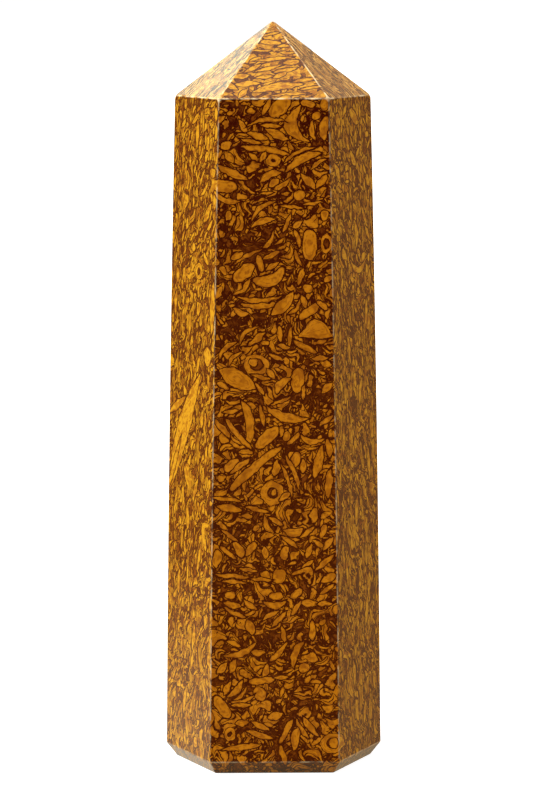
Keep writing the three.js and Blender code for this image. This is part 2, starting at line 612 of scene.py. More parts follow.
def lay_flakes(tree, sideways, height, depth, flakes):
    """Lays the listed flakes over the pattern, three at a time, each from its own third of
    the list so that the three never touch."""
    groups = {False: three_flakes_group(False), True: three_flakes_group(True)}
    sideways = vector_of(tree, sideways, sideways, sideways)
    height = vector_of(tree, height, height, height)
    third = math.ceil(len(flakes) / 3)
    last = len(flakes) - 1
    for i in range(third):
        trio = [flake_numbers(flakes[min(i + step * third, last)]) for step in range(3)]
        values = {name: tuple(one[name] for one in trio) for name in trio[0]}
        group = groups[min(values["Wall"]) < FAR]
        made = use_group(tree, group, Sideways=sideways, Height=height, Depth=depth, **values)
        height, depth = made["Height"], made["Depth"]
    return depth


# The flakes that stand out on the front face, from the point down: sideways, height,
# length and width in mm, heading in degrees, bend, bluntness and, for a ring, its wall.
FRONT_FLAKES = (
    (0.8, 89.1, 3.5, 1.9, 48, 0, 3), (-0.9, 89.1, 2.3, 0.7, 62, 0, 2.5),
    (2.75, 86.7, 5, 1.7, -79, -0.74, 2.5), (4.4, 89.5, 2, 0.8, -15, 0, 2.5),
    (6.6, 89.4, 1.6, 1, 80, 0, 3), (5.5, 87.9, 1.2, 0.95, 20, 0, 2.5),
    (6.5, 86.3, 3, 1.1, 84, 0.1, 3), (5, 86, 2.6, 0.7, 100, 0.2, 2.5), (-4, 86.5, 2, 0.7, -60),
    (-1, 87.3, 4.9, 0.55, 6, 0.2), (-0.4, 86.6, 2.8, 0.65, -3, 0, 1.8),
    (0.4, 85.5, 3.4, 1, -26, 0, 1.8), (-2.1, 85.3, 3, 0.9, -18, 0, 1.8),
    (-2.9, 84.6, 2.8, 0.45, -12), (-6.2, 84.1, 1.5, 1.1, 20, 0, 2.5), (-5.8, 82.6, 1.9, 0.9, -50),
    (-1, 83.5, 6.6, 0.75, -9, 0.08, 2.5), (-0.1, 82.15, 1.85, 1.6, 0, 0, 2, 0.55),
    (3.7, 82.2, 5.2, 1.05, 28, 0.2, 2.5), (3.2, 83.1, 4.6, 0.45, 27, 0.2, 2.5),
    (5.7, 81.7, 2.6, 0.5, 35, 0.2), (-2.7, 82.6, 1.6, 0.7, -40), (-1.4, 82.6, 1.5, 0.6, 60),
    (-5.4, 80.5, 4.2, 1, -25, 0, 2.5), (-6.6, 78.8, 3.6, 1.6, -5, 0, 3),
    (-6.4, 77.2, 4, 0.75, -22, -0.3, 2.2), (-0.5, 80.2, 3.1, 0.85, 25, 0.2),
    (0, 79.2, 1.5, 1, 40, 0, 2.5), (1.1, 79, 2.7, 0.65, 33, -0.2), (-0.9, 77.9, 1.8, 0.4, 3),
    (3.3, 77.6, 1.4, 1.3, 0, 0, 3), (4.5, 79.4, 2.9, 0.95, -45), (6.2, 79.4, 2.3, 0.8, 50),
    (-1.6, 75.9, 4, 0.65, 40, 0.3, 2.2), (2.3, 76.1, 3.1, 0.4, -8), (5, 76.5, 2.6, 0.4, 8),
    (6.6, 75, 1.4, 1, 80, 0, 3), (-5.9, 75, 1.4, 0.8, 60), (-1.4, 74.2, 3.5, 0.8, 18, 0.2, 2.2),
    (3.1, 73.8, 1.7, 0.75, 35), (1.7, 74, 2.6, 0.55, 68), (4.65, 71.1, 4.1, 1.8, 88, 0, 3.5),
    (6.85, 71.3, 2.5, 1.45, 85, 0, 2, 0.3), (3.1, 71.9, 2.4, 0.6, -78, 0.15, 2.5),
    (-0.7, 71.5, 3.3, 0.5, 55, -0.25, 2.5), (3.1, 69.4, 2.2, 0.5, -65, 0, 2.5),
    (-3.5, 69.7, 4.3, 0.45, 28, 0.1, 2.5), (-4.8, 69.7, 1.7, 0.7, 25, 0, 2.5),
    (-0.3, 69.8, 2.5, 0.6, 32, 0, 2.5), (-1.8, 68.7, 2.2, 0.8, -75, 0, 3),
    (-0.2, 68.4, 2, 0.75, 28), (-3.95, 67.5, 3.4, 1.6, 42, 0, 2.8),
    (-0.5, 66.7, 4.4, 1.6, 20, -0.4, 3), (3.5, 67, 2.4, 0.65, 72), (4.4, 65.4, 1.3, 1.1, 0, 0, 3),
    (-2, 64, 5.8, 0.6, 0, -0.2, 2.5), (-1.8, 63.2, 5, 0.65, 1, -0.1, 2.5),
    (1.2, 63.3, 4.3, 1.5, 45, -0.15, 2.2), (2.9, 63, 2.8, 0.45, 55, -0.2, 2.5),
    (3.9, 63.6, 1.9, 0.65, -70), (4.6, 62.4, 3.2, 1.05, 38, 0, 3.5),
    (6.3, 63.2, 1.7, 0.7, -45, 0, 2.5), (-4.4, 62.3, 2.1, 0.8, -18, -0.2),
    (5.5, 59.8, 4.4, 2.4, 0, 0.5, 1.6), (-3.5, 59.6, 3.5, 0.5, 40, 0.4, 2.5),
    (0.75, 59.5, 2.1, 0.7, -80, 0, 2.5), (2.1, 59, 2.6, 0.5, 85, 0, 2.5),
    (-2.3, 58.8, 2.7, 0.7, 38), (3.3, 58.7, 1.6, 0.6, -40), (4.1, 57.7, 3.4, 0.7, -28, 0, 2.5),
    (1.3, 57.8, 1.8, 0.65, -12), (-6.3, 57.5, 3.2, 0.6, 45, 0.25, 2.5), (6, 56.2, 2.4, 0.6, 5),
    (0.2, 56.4, 2.2, 0.6, -25), (-5.3, 56.3, 2.6, 0.45, 45, 0.3, 2.5),
    (-2.3, 55.4, 3.2, 2.8, 0, 0, 2, 0.6), (-2.7, 55.7, 1.1, 1, 0, 0, 3),
    (-0.5, 54.2, 1.8, 0.8, -55), (-1.8, 53.8, 2.6, 0.45, -15, 0, 2.5),
    (-4.85, 53.5, 5.5, 2.4, -28), (3.05, 53.35, 3.4, 1.7, 86, 0, 2.6),
    (1, 52.8, 2.7, 1.05, 45, 0.3, 2.5), (-6.7, 52.6, 1.9, 0.7, -28), (6.9, 52.3, 2, 1, 45),
    (3.9, 51.7, 2, 0.5, 85, 0, 2.5), (-1.9, 52.2, 2, 0.45, -55), (-0.6, 51.6, 2, 0.5, -65),
    (0.9, 50.6, 2.8, 0.4, 20, 0, 2.5), (-5.1, 50.5, 2.8, 0.45, 10, -0.4, 2.5),
    (-5.7, 49.2, 2, 0.5, 5), (1.6, 48.6, 5.8, 1.15, -17, -0.25),
    (-1.55, 48.6, 2.9, 0.55, -80, 0, 2.5), (-3.4, 47.7, 5.8, 1.1, -84, 0.25, 4),
    (6.9, 48, 2.4, 0.55, 38, 0, 2.5), (-6.8, 46.9, 3.2, 0.7, -50, 0, 2.5),
    (1.6, 45.9, 1.3, 0.9, 70, 0, 2.5), (-1, 45.7, 4, 1.6, 42, 0, 2.6),
    (-4.8, 46.1, 5.2, 0.7, -50, -0.05, 3), (2.6, 45.6, 2.4, 0.6, 40, 0, 2.5),
    (4.95, 45.3, 3.2, 0.65, -10, -0.4, 2.5), (7.2, 44.3, 2.4, 0.8, -80, 0, 2.5),
    (4.6, 44.3, 2.4, 0.35, -8, -0.3, 2.5), (2.85, 42.8, 2.2, 1.1, 80, 0, 2.5),
    (5.85, 42.5, 4.6, 1.1, 76), (3.8, 41.9, 1.9, 0.7, 88, 0, 2.5),
    (-5.6, 42, 2.3, 1.4, 40, 0, 2.5), (0.3, 41.7, 2.4, 1.1, 80, 0, 2.5),
    (-4.6, 41.9, 3.2, 0.7, 38, 0, 2.5), (-2.6, 41.7, 8.8, 1, 41, 0.06, 5),
    (2.6, 41, 4.8, 0.6, -68, 0.1, 2.5), (1.75, 40, 4.8, 0.5, -72, 0.1, 2.5),
    (7.2, 39.5, 4, 0.9, 85, 0, 2.5), (-0.25, 38.3, 3.2, 3, 90, 0, 2, 0.8),
    (-0.05, 38.4, 0.9, 0.55, 70, 0, 2.5), (-6.3, 37.5, 3.8, 0.55, -8, 0, 2.5),
    (1.3, 37.8, 1.7, 0.8, 40, 0, 2.5), (-6, 36.3, 3.4, 0.85, -10, 0, 2.5),
    (-2.3, 36.1, 3.2, 0.6, -14, 0, 2.5), (-3.6, 35.2, 1.6, 0.65, -5), (0.1, 34.6, 2.2, 0.6, -32),
    (-1, 34.1, 2.5, 0.7, -62, -0.3), (6.5, 33.2, 2, 0.75, 70, 0, 2.5),
    (2.5, 33.1, 2.7, 1.2, 3, -0.4), (4.3, 33, 2.4, 0.6, 35, 0, 2.5),
    (-5.8, 32.5, 2.8, 0.55, -38, 0, 2.5), (2, 31.8, 2.6, 0.6, -38, 0, 2.5),
    (7.1, 31.5, 2.4, 0.7, 55), (-4.7, 30.7, 2.2, 1, -60, 0, 3), (-3.2, 30.8, 2.4, 0.9, 48, 0, 3),
    (1.4, 30.3, 2, 1, 78, 0, 4), (4.6, 30.5, 2, 0.7, 75, 0, 2.5), (-1.25, 30.3, 1.7, 0.85, -75),
    (-6.1, 30.3, 2.6, 0.6, -40, 0, 2.5), (-7.6, 29.5, 2.4, 1.2, 80, 0, 2.5),
    (6.7, 29, 3.2, 0.7, 44, 0, 2.5), (4.4, 28.8, 1.8, 0.5, 30), (-3.4, 28, 2.4, 0.45, -8, 0, 2.5),
    (0.6, 27.1, 2, 1.6, 80, 0, 5), (-5.6, 27.2, 4.6, 0.55, -5, 0, 2.5), (7.2, 26.9, 2.4, 1, 25),
    (-1.8, 26.7, 2.8, 0.5, -5, 0, 2.5), (-5.3, 26.4, 3.2, 0.45, -5, 0, 2.5),
    (7, 25.4, 2.2, 0.7, 35), (2.9, 24.8, 1.8, 0.9, 40, 0, 2.5), (0.2, 24.4, 1.7, 1, 0, 0, 3),
    (-5.9, 24.6, 1.4, 0.9, 0, 0, 3), (0, 23.3, 3, 0.8, 3, -0.35, 2.5), (4.6, 23.5, 2.6, 1, -3),
    (6.7, 23.4, 2, 0.6, 0, 0, 2.5), (-3.2, 23.2, 2.2, 0.7, -38), (-5.6, 23.3, 2.3, 0.8, -15),
    (2.9, 22.8, 2.4, 0.65, 58), (-5.3, 22.2, 3.2, 0.55, -25, -0.15, 2.5),
    (-0.5, 21.9, 2.6, 0.6, 30), (0.6, 21.3, 2.8, 0.6, 45), (-3.2, 20.2, 2, 1.2, -70, 0, 2.5),
    (5, 19.8, 2.8, 0.8, 88, 0, 2.5), (1.2, 19.3, 2.4, 0.6, -78, 0, 2.5), (-5.4, 18, 2, 0.7, -20),
    (-4.4, 16.9, 4.8, 0.8, 22, -0.25), (-2.2, 16.8, 2, 0.75, -3),
    (0.6, 16.8, 3.4, 0.65, 48, -0.1, 3), (2.9, 16.7, 3.8, 0.9, 68, 0.3, 2.5),
    (-5.5, 15, 1.9, 0.85, 70), (-7, 14.7, 2, 0.8, 45), (4, 14.7, 1.4, 1.2, 0, 0, 3),
    (-1.2, 14.3, 2, 0.9, 75), (-1.75, 13, 3.6, 0.85, 6, 0, 3), (0.9, 13.4, 2, 0.5, 3),
    (5.5, 12.8, 1.4, 0.55, 0, 0, 2.5), (-6.3, 12, 2, 0.75, 60), (-5.1, 11.8, 3.2, 0.8, 48, -0.25),
    (-2, 11.2, 2.2, 1.5, -60, 0, 2.5), (-4.5, 11.1, 2.8, 0.45, 48, -0.25),
    (-4.2, 10.3, 3.2, 0.5, 15, -0.25, 2.5), (1, 11.5, 1.6, 0.55, 80), (-4.4, 9.6, 2.6, 0.6, 0),
    (-7, 9.4, 3.4, 1.5, -55, 0, 3), (0.1, 8.2, 2.2, 1.1, 15), (-4.4, 7.2, 1.8, 0.8, 5),
    (4.7, 6.7, 3.4, 0.75, -52, -0.1, 2.5), (3.6, 6.4, 3, 0.6, -58, -0.15, 2.5),
    (1.5, 6.1, 3.8, 0.7, 62, 0, 2.5), (-1.9, 6.8, 2.6, 0.65, -28),
    (-2, 5.6, 3.6, 0.75, -17, 0, 2.5), (-6, 5.7, 1.8, 1.5, 80, 0, 2, 0.45),
    (2.8, 5.1, 3.2, 1.2, 82), (7.75, 4.4, 3.2, 2.8, 0, 0, 2, 0.65), (7.9, 4.4, 1.3, 1.2, 0, 0, 3),
    (-4.4, 3.9, 5.4, 0.75, 8), (1.1, 2.8, 3, 0.75, -75, 0, 2.5),
)
# The same for the left and right side faces, with sideways measured along each face.
LEFT_FLAKES = (
    (3.9, 89.4, 1.6, 0.5, 30), (-3.3, 89.1, 1.6, 0.7, 84), (-5.7, 88.5, 1.4, 0.5, 115),
    (-1.1, 88.4, 1.5, 0.5, 60), (0.2, 88.5, 1.6, 0.45, 50), (4.7, 88.1, 2, 0.7, 88, 0, 2.5),
    (-4.6, 87.8, 1.2, 0.6, 90, 0, 2.5), (-0.6, 87.3, 2.3, 0.7, 40), (-1.9, 87.3, 1.6, 0.4, 92),
    (1.4, 86.9, 3.6, 0.4, 90, 0.05), (-3.8, 86.5, 1.7, 0.6, 45), (2.8, 86.3, 1.5, 0.4, 95),
    (4.8, 85.7, 1.8, 0.7, 85, 0, 2.5), (-0.1, 85.2, 3.9, 0.9, 88),
    (-3.5, 85.1, 2.9, 0.35, 49, 0.1), (-2.3, 84.9, 2.6, 0.45, 75, 0.15), (2.2, 84.8, 2, 0.4, 88),
    (-5.9, 84.1, 1.8, 0.5, 88), (-3.6, 82.9, 1.5, 0.7, 92, 0, 2.5),
    (-0.8, 82.9, 2.1, 0.6, 125, 0.1), (1.1, 82.9, 2.8, 0.5, 66, -0.1), (3.5, 82.7, 1.6, 0.45, 80),
    (2.4, 82.5, 1.5, 0.8, 70, 0, 2.5), (-5.6, 82.2, 2.3, 0.4, 68), (-3.8, 80.7, 1.5, 0.4, 80, 0.2),
    (-0.6, 80.7, 1.4, 0.4, 85), (4.1, 80.4, 1.4, 1.2, 0, 0, 3), (1.3, 79.6, 3.2, 0.45, 62, 0.05),
    (0.3, 79.5, 2.7, 0.4, 72), (-5.9, 79, 2.2, 0.5, 90), (-1.6, 78.4, 1.8, 0.35, 88),
    (2.1, 78.2, 3, 0.5, 46, -0.1), (-4.6, 77.8, 2, 0.5, 86), (0, 77.7, 1.5, 0.5, 92),
    (4.8, 77, 2.8, 0.8, 88, 0, 2.5), (-3.7, 76.8, 2, 0.45, 85), (-0.8, 76.4, 1.6, 0.5, 88),
    (3, 75.2, 3.4, 0.9, 55), (-2.4, 73.4, 1.8, 0.6, 86), (3.5, 73.4, 2.3, 0.6, 50),
    (-3.6, 72.9, 1.6, 0.4, 80), (1.5, 72.4, 1.6, 0.4, 48), (2.4, 72, 2, 0.4, 50),
    (-1, 71.8, 1.9, 0.45, 52), (-3.5, 71.6, 1.9, 0.45, 62), (3.9, 71.2, 1.2, 0.5, 90),
    (-5.7, 70.5, 1.4, 0.5, 78), (-0.6, 70.4, 1.3, 0.8, 75, 0, 2.5),
    (1.2, 70.4, 1.2, 0.5, 95, 0, 2.5), (-4.8, 69.6, 1.9, 0.35, 85),
    (2.7, 69.1, 1.9, 0.8, 130, 0, 2.5), (-0.5, 69, 1.4, 0.35, 85), (-4, 68.5, 1.4, 0.5, 95),
    (0.9, 67.3, 2.2, 1.8, 90, 0, 2, 0.5), (-4.8, 66.3, 2, 0.9, 92, 0, 2.5),
    (2.4, 64.3, 1.5, 0.4, 60), (-5.3, 62.6, 3.6, 0.8, 86, 0.1), (4.6, 62.8, 7, 1.2, 88, 0, 2.5),
    (-1.4, 60, 4.2, 0.7, 84, -0.1), (3.5, 56.3, 2.6, 1.8, 90, 0, 2.5), (1, 55, 2.6, 0.7, 70),
    (-4.6, 48.9, 5.2, 0.9, 31, 0, 2.5), (-2.9, 45.5, 19, 3, 64, 0.06, 1.9),
    (-5.4, 40.5, 9, 0.8, 66), (3.4, 43, 3.2, 0.6, 80), (0.6, 38, 4, 0.7, 68, 0.1),
    (-1.5, 34, 3.6, 1, -84, 0.1), (1.8, 29, 4.4, 0.7, 78), (-3.8, 25, 3.8, 0.9, 84),
    (0.4, 18, 4, 0.8, 82, -0.1), (-2, 9, 4.2, 0.8, 78, 0.1),
)
RIGHT_FLAKES = (
    (-1.1, 88.3, 1.9, 0.6, 62), (3, 88.2, 1.8, 0.6, 105), (1.4, 87.5, 3, 1.3, 135, 0, 2.5),
    (-3, 87.2, 1.9, 1.2, 112, 0, 3), (5.2, 87.1, 2.4, 0.5, 92, 0.15), (4.3, 86.7, 1.7, 0.35, 132),
    (-2.7, 85.6, 1.8, 0.6, 82), (-4.5, 85.5, 1.6, 0.6, 88), (3.2, 85.3, 2, 0.4, 95),
    (4.9, 85, 0.9, 0.8, 0, 0, 3), (1.8, 84.9, 2, 0.6, 92), (-3.2, 84.2, 1.7, 0.5, 130),
    (0.7, 84.2, 2, 0.4, 115), (5.4, 83.8, 1.9, 0.5, 54), (2.3, 82.8, 1.6, 0.5, 52),
    (-1.3, 82.5, 1.6, 0.35, 115), (1, 82, 2.5, 0.9, 125, 0.05, 2.5), (2.1, 81.1, 1.2, 0.5, 80),
    (-0.8, 80.9, 0.9, 0.7, 60, 0, 2.5), (3.2, 80.6, 1.4, 0.5, 90), (-3.4, 80.5, 3.3, 1, 118, -0.1),
    (4.2, 80.4, 2, 0.5, 118), (-0.8, 79.9, 0.9, 0.9, 0, 0, 3), (-0.8, 79.1, 1.1, 0.5, 5),
    (1.1, 78.5, 1.2, 0.4, 115), (-1.9, 78.3, 1.3, 0.6, 95, 0, 2.5), (4, 78.4, 1.8, 0.5, 95),
    (1.6, 77.8, 1.6, 0.4, 25, 0.3), (0.1, 77.5, 2.4, 0.4, 98), (4.5, 77, 2.4, 0.4, 95),
    (-1.9, 74.9, 1.5, 0.6, 95), (-3.9, 74.6, 1.6, 0.6, 90), (3.9, 74.1, 3.6, 0.6, 118),
    (-0.3, 73.5, 1.2, 0.8, 100, 0, 2.5), (5.8, 73.3, 4, 0.4, 100), (1.5, 72.1, 3.8, 0.9, -82, 0.2),
    (-3.7, 71.9, 1, 0.6, 85, 0, 2.5), (-1, 71.7, 1.4, 0.4, 120), (4.7, 71.9, 2.4, 0.7, 120),
    (2.6, 70.9, 1.4, 0.4, 125), (-1.8, 70.8, 1.4, 0.35, 120), (6, 69.6, 1.6, 0.4, 105),
    (-0.8, 68.9, 1.2, 0.5, 88), (3.4, 68.8, 1.6, 1, 60), (4.9, 68.6, 1.3, 0.5, 95),
    (2, 67.6, 4.6, 0.9, 0, -0.7, 2.5), (4.4, 67, 1.8, 0.6, 92), (-2.8, 67.2, 1.8, 0.5, 85),
    (-2.6, 65.7, 1.8, 0.6, 86), (-1.4, 65.6, 1.5, 0.4, 120), (0.4, 64.8, 1.2, 0.5, 90),
    (1.9, 64.4, 1, 0.7, 90, 0, 2.5), (-4, 64.2, 1.8, 0.5, 98), (4, 61, 4.6, 0.7, 84),
    (-1, 57, 4.4, 0.7, -82), (2, 51, 3.8, 0.8, 80, 0.1), (-3, 45, 4.2, 0.6, 84),
    (4.2, 41, 4.8, 0.7, -84), (0.5, 35, 4, 0.9, 86, 0.1), (-2.4, 27, 4.2, 0.6, -80),
    (3.2, 21, 4.4, 0.8, 82), (-0.6, 13, 4, 0.7, -84, 0.1), (2.4, 7, 3.6, 0.8, 80),
)
# The point's front facet, where height is measured up the slope.
POINT_FLAKES = (
    (-0.3, 67.6, 2.6, 0.4, 12), (-0.3, 66.1, 2.9, 0.9, -3, 0, 2.2), (1.4, 65.5, 1.8, 0.6, 5),
    (-1.6, 64.6, 2.6, 0.4, -4), (1.8, 64.2, 2.4, 0.4, -6), (0.1, 63.1, 5, 0.6, 8),
    (2.4, 62.5, 2.2, 0.9, 12, 0, 2.5), (-2.4, 62.9, 1.8, 0.9, 40), (-2.7, 61.4, 2.6, 0.7, 30),
    (-0.7, 61.4, 3.8, 0.55, 20), (1.6, 61.1, 3.2, 0.6, 14), (-4.3, 60, 2.6, 0.8, 10),
    (0.8, 60.2, 2.2, 0.7, 30), (-1.2, 59.9, 2.4, 0.5, 8), (-3.4, 58.7, 3.4, 0.9, 6, 0, 2.2),
    (0.5, 58.1, 6.8, 1.3, 12, 0.08), (4.3, 59.4, 3.8, 0.6, 14), (5, 58, 3.2, 0.5, 12),
    (-5.6, 58.3, 2.2, 0.9, -40), (-4, 57, 2, 0.8, 55), (2, 56.8, 4.6, 0.6, 6),
)

# Each visible face's list, its directions sideways, upwards and outwards, and how far out
# the flakes begin, in mm. They reach a little way into the stone.
FLAKED_FACES = (
    (LEFT_FLAKES, (0.488, -0.873, 0.0), (0.0, 0.0, 1.0), (-0.873, -0.488, 0.0), 10.9),
    (RIGHT_FLAKES, (0.488, 0.873, 0.0), (0.0, 0.0, 1.0), (0.873, -0.488, 0.0), 10.9),
    (POINT_FLAKES, (1.0, 0.0, 0.0), (0.0, 0.713, 0.701), (0.0, -0.701, 0.713), 70.3),
    (FRONT_FLAKES, (1.0, 0.0, 0.0), (0.0, 0.0, 1.0), (0.0, -1.0, 0.0), 9.6),
)

# Layers of flakes from the lowest to the topmost: how many, then cell and sheet size in
# mm, bend, presence and rim in mm.
FLAKE_LAYERS = (
    (4, 1.7, 0.60, 0.8, 1.00, 0.09),
    (5, 2.6, 0.80, 1.0, 1.00, 0.10),
    (4, 3.7, 1.00, 1.2, 0.95, 0.11),
    (2, 5.2, 1.30, 1.4, 0.75, 0.12),
    (1, 2.6, 0.80, 1.2, 0.80, 0.11),
)
LAYER_SEED = 7
GOLDEN_TURN = math.radians(137.5)
GRID_SPREAD = 200  # mm

# Planes through the cut stone in mm, for a place whose x and y are taken as positive.
# Beyond the shaft's arris, or the point's ridge, a place is under a side face.
SHOULDER_LEVEL = 90.15
SHAFT_ARRIS, SHAFT_ARRIS_LEVEL = (0.873, -0.512, 0.0101), 2.07
POINT_RIDGE, POINT_RIDGE_LEVEL = (0.568, -0.367, 0.0398), 3.98
SIDE_OUT, SIDE_ALONG = (0.873, 0.488, 0.0), (-0.488, 0.873, 0.0)
FACET_OUT, FACET_UP = (0.0, 0.702, 0.712), (0.0, -0.712, 0.702)
SIDE_FACET_OUT, SIDE_FACET_UP = (0.568, 0.334, 0.752), (-0.648, -0.382, 0.659)

# The pattern is squeezed sideways and drawn out upwards in the side faces, and more so in
# the point's, so flakes come out narrower and longer there.
SIDE_NARROWING, SIDE_DRAWING_OUT = 1.65, 0.85
FACET_NARROWING, FACET_DRAWING_OUT = 1.2, 0.6

# Faces that are alike in measure start elsewhere in the pattern, in mm.
RIGHT_SHIFT, BACK_SHIFT = 31.0, 57.0

# How strongly a flake's heading follows the stone's swirl, and its middle in radians.
FRONT_HEADING = (9.0, 0.0)
SIDE_HEADING = (3.0, 0.75)
SIDE_FACET_HEADING = (1.0, 1.1)
FACET_HEADING = (1.2, -0.1)

# Scatter in radians, and slimness, in the front and back and then across the bedding.
SCATTER, SLIMNESS = (2.4, 1.0), (0.46, 0.38)
SIDE_FACET_ORDER = 0.5  # radians that the point's side facets scatter less

BRUISE_AND_HIGHLIGHT_RISE = (89.5, 90.0)  # mm, over which the arrises' bruising and painted highlight grow to the point's
SHAFT_BRUISE_AND_HIGHLIGHT = 0.45
JASPER_IOR = 1.54
LAPPING_STRENGTH, LAPPING_DEPTH = 0.10, 0.2 * MM


def on_faces(tree, place):
    """Where a place lies on its face: sideways, into the stone and up the face. It also
    tells the side faces from the front and back, and the point from the shaft."""
    extent = place.absolute()
    x, y, z = place.parts()
    on_point = z.above(SHOULDER_LEVEL)
    shaft_side = extent.dot(SHAFT_ARRIS) - SHAFT_ARRIS_LEVEL
    point_side = extent.dot(POINT_RIDGE) - POINT_RIDGE_LEVEL
    on_side = mixed(tree, "FLOAT", on_point, shaft_side, point_side).above(0.0)
    sideways = extent.dot(SIDE_ALONG) * SIDE_NARROWING
    front = mixed(tree, "VECTOR", on_point, place,
                  vector_of(tree, x, extent.dot(FACET_OUT), extent.dot(FACET_UP)))
    side = mixed(
        tree, "VECTOR", on_point,
        vector_of(tree, sideways, extent.dot(SIDE_OUT), z * SIDE_DRAWING_OUT),
        vector_of(tree, sideways * FACET_NARROWING, extent.dot(SIDE_FACET_OUT),
                  extent.dot(SIDE_FACET_UP) * FACET_DRAWING_OUT))
    shift = x.above(0.0) * on_side * RIGHT_SHIFT + y.above(0.0) * BACK_SHIFT
    own_place = mixed(tree, "VECTOR", on_side, front, side) + vector_of(tree, 0.0, 0.0, shift)
    return own_place, on_side, on_point


def wander(tree, place, scale, detail, reach):
    """A smooth push that changes from place to place, of up to half the reach each way."""
    return (noise(tree, place, scale, detail, output="Color") - 0.5) * reach


def lay_layers(tree, place, flow, scatter, slimness):
    """Lays every layer of flakes, each turned and shifted in its own way. Returns the place
    carried through them, the depth and the mark."""
    draw = random.Random(LAYER_SEED)
    layer = flake_layer_group()
    depth, mark = -1.0, (0.0, 0.0, 0.0)
    number = 0
    for count, cell, sheet, bend, presence, rim in FLAKE_LAYERS:
        for _ in range(count):
            number += 1
            lean = draw.uniform(0.02, 0.12)
            strike = number * GOLDEN_TURN
            made = use_group(
                tree, layer, Place=place, Depth=depth, Mark=mark, Flow=flow, Scatter=scatter,
                Cell=cell, Sheet=sheet,
                Grid_turn=(lean * math.cos(strike), draw.uniform(-0.6, 0.6),
                           lean * math.sin(strike)),
                Grid_shift=tuple(draw.uniform(0, GRID_SPREAD) for _ in range(3)),
                Slimness=slimness, Bend=bend, Presence=presence, Rim=rim)
            place, depth, mark = made["Place"], made["Depth"], made["Mark"]
    return place, depth, mark


def jasper_colour(tree, colours, place, depth, across_bedding, side_of_point):
    """The stone's own colour, except for a painted highlight that pales the flakes in the point's
    side facets. A flake is deeper in colour at its edge, along the growth lines that follow it
    and in clouds. The ground has the same lines."""
    x, _, z = place.parts()
    growth = noise(tree, vector_of(tree, depth * 6.0, x * 1.4, z * 1.4), 1.0, 2.0)
    cloud = noise(tree, place, 0.8, 2.0)
    shade = depth.eased(0.0, 0.12, 0.5, 1.0) * growth.eased(0.36, 0.52, 0.15, 1.0)
    shade = shade * cloud.eased(0.34, 0.48, 0.35, 1.0)
    gold = mixed(tree, "RGBA", cloud.eased(0.40, 0.65), colours.flake, colours.flake_pale)
    gold = mixed(tree, "RGBA", across_bedding, gold, colours.flake_across)
    # Painted highlight: the point's side facets get paler flakes.
    gold = mixed(tree, "RGBA", side_of_point, gold, colours.flake_with_painted_highlight)
    gold = mixed(tree, "RGBA", shade, colours.flake_edge, gold)
    is_open = depth.eased(-0.25, -0.05, 1.0, 0.0) * growth.eased(0.38, 0.60, 0.15, 1.0)
    dark = mixed(tree, "RGBA", is_open, colours.ground, colours.open_ground)
    return mixed(tree, "RGBA", depth.eased(-0.02, 0.03), dark, gold)


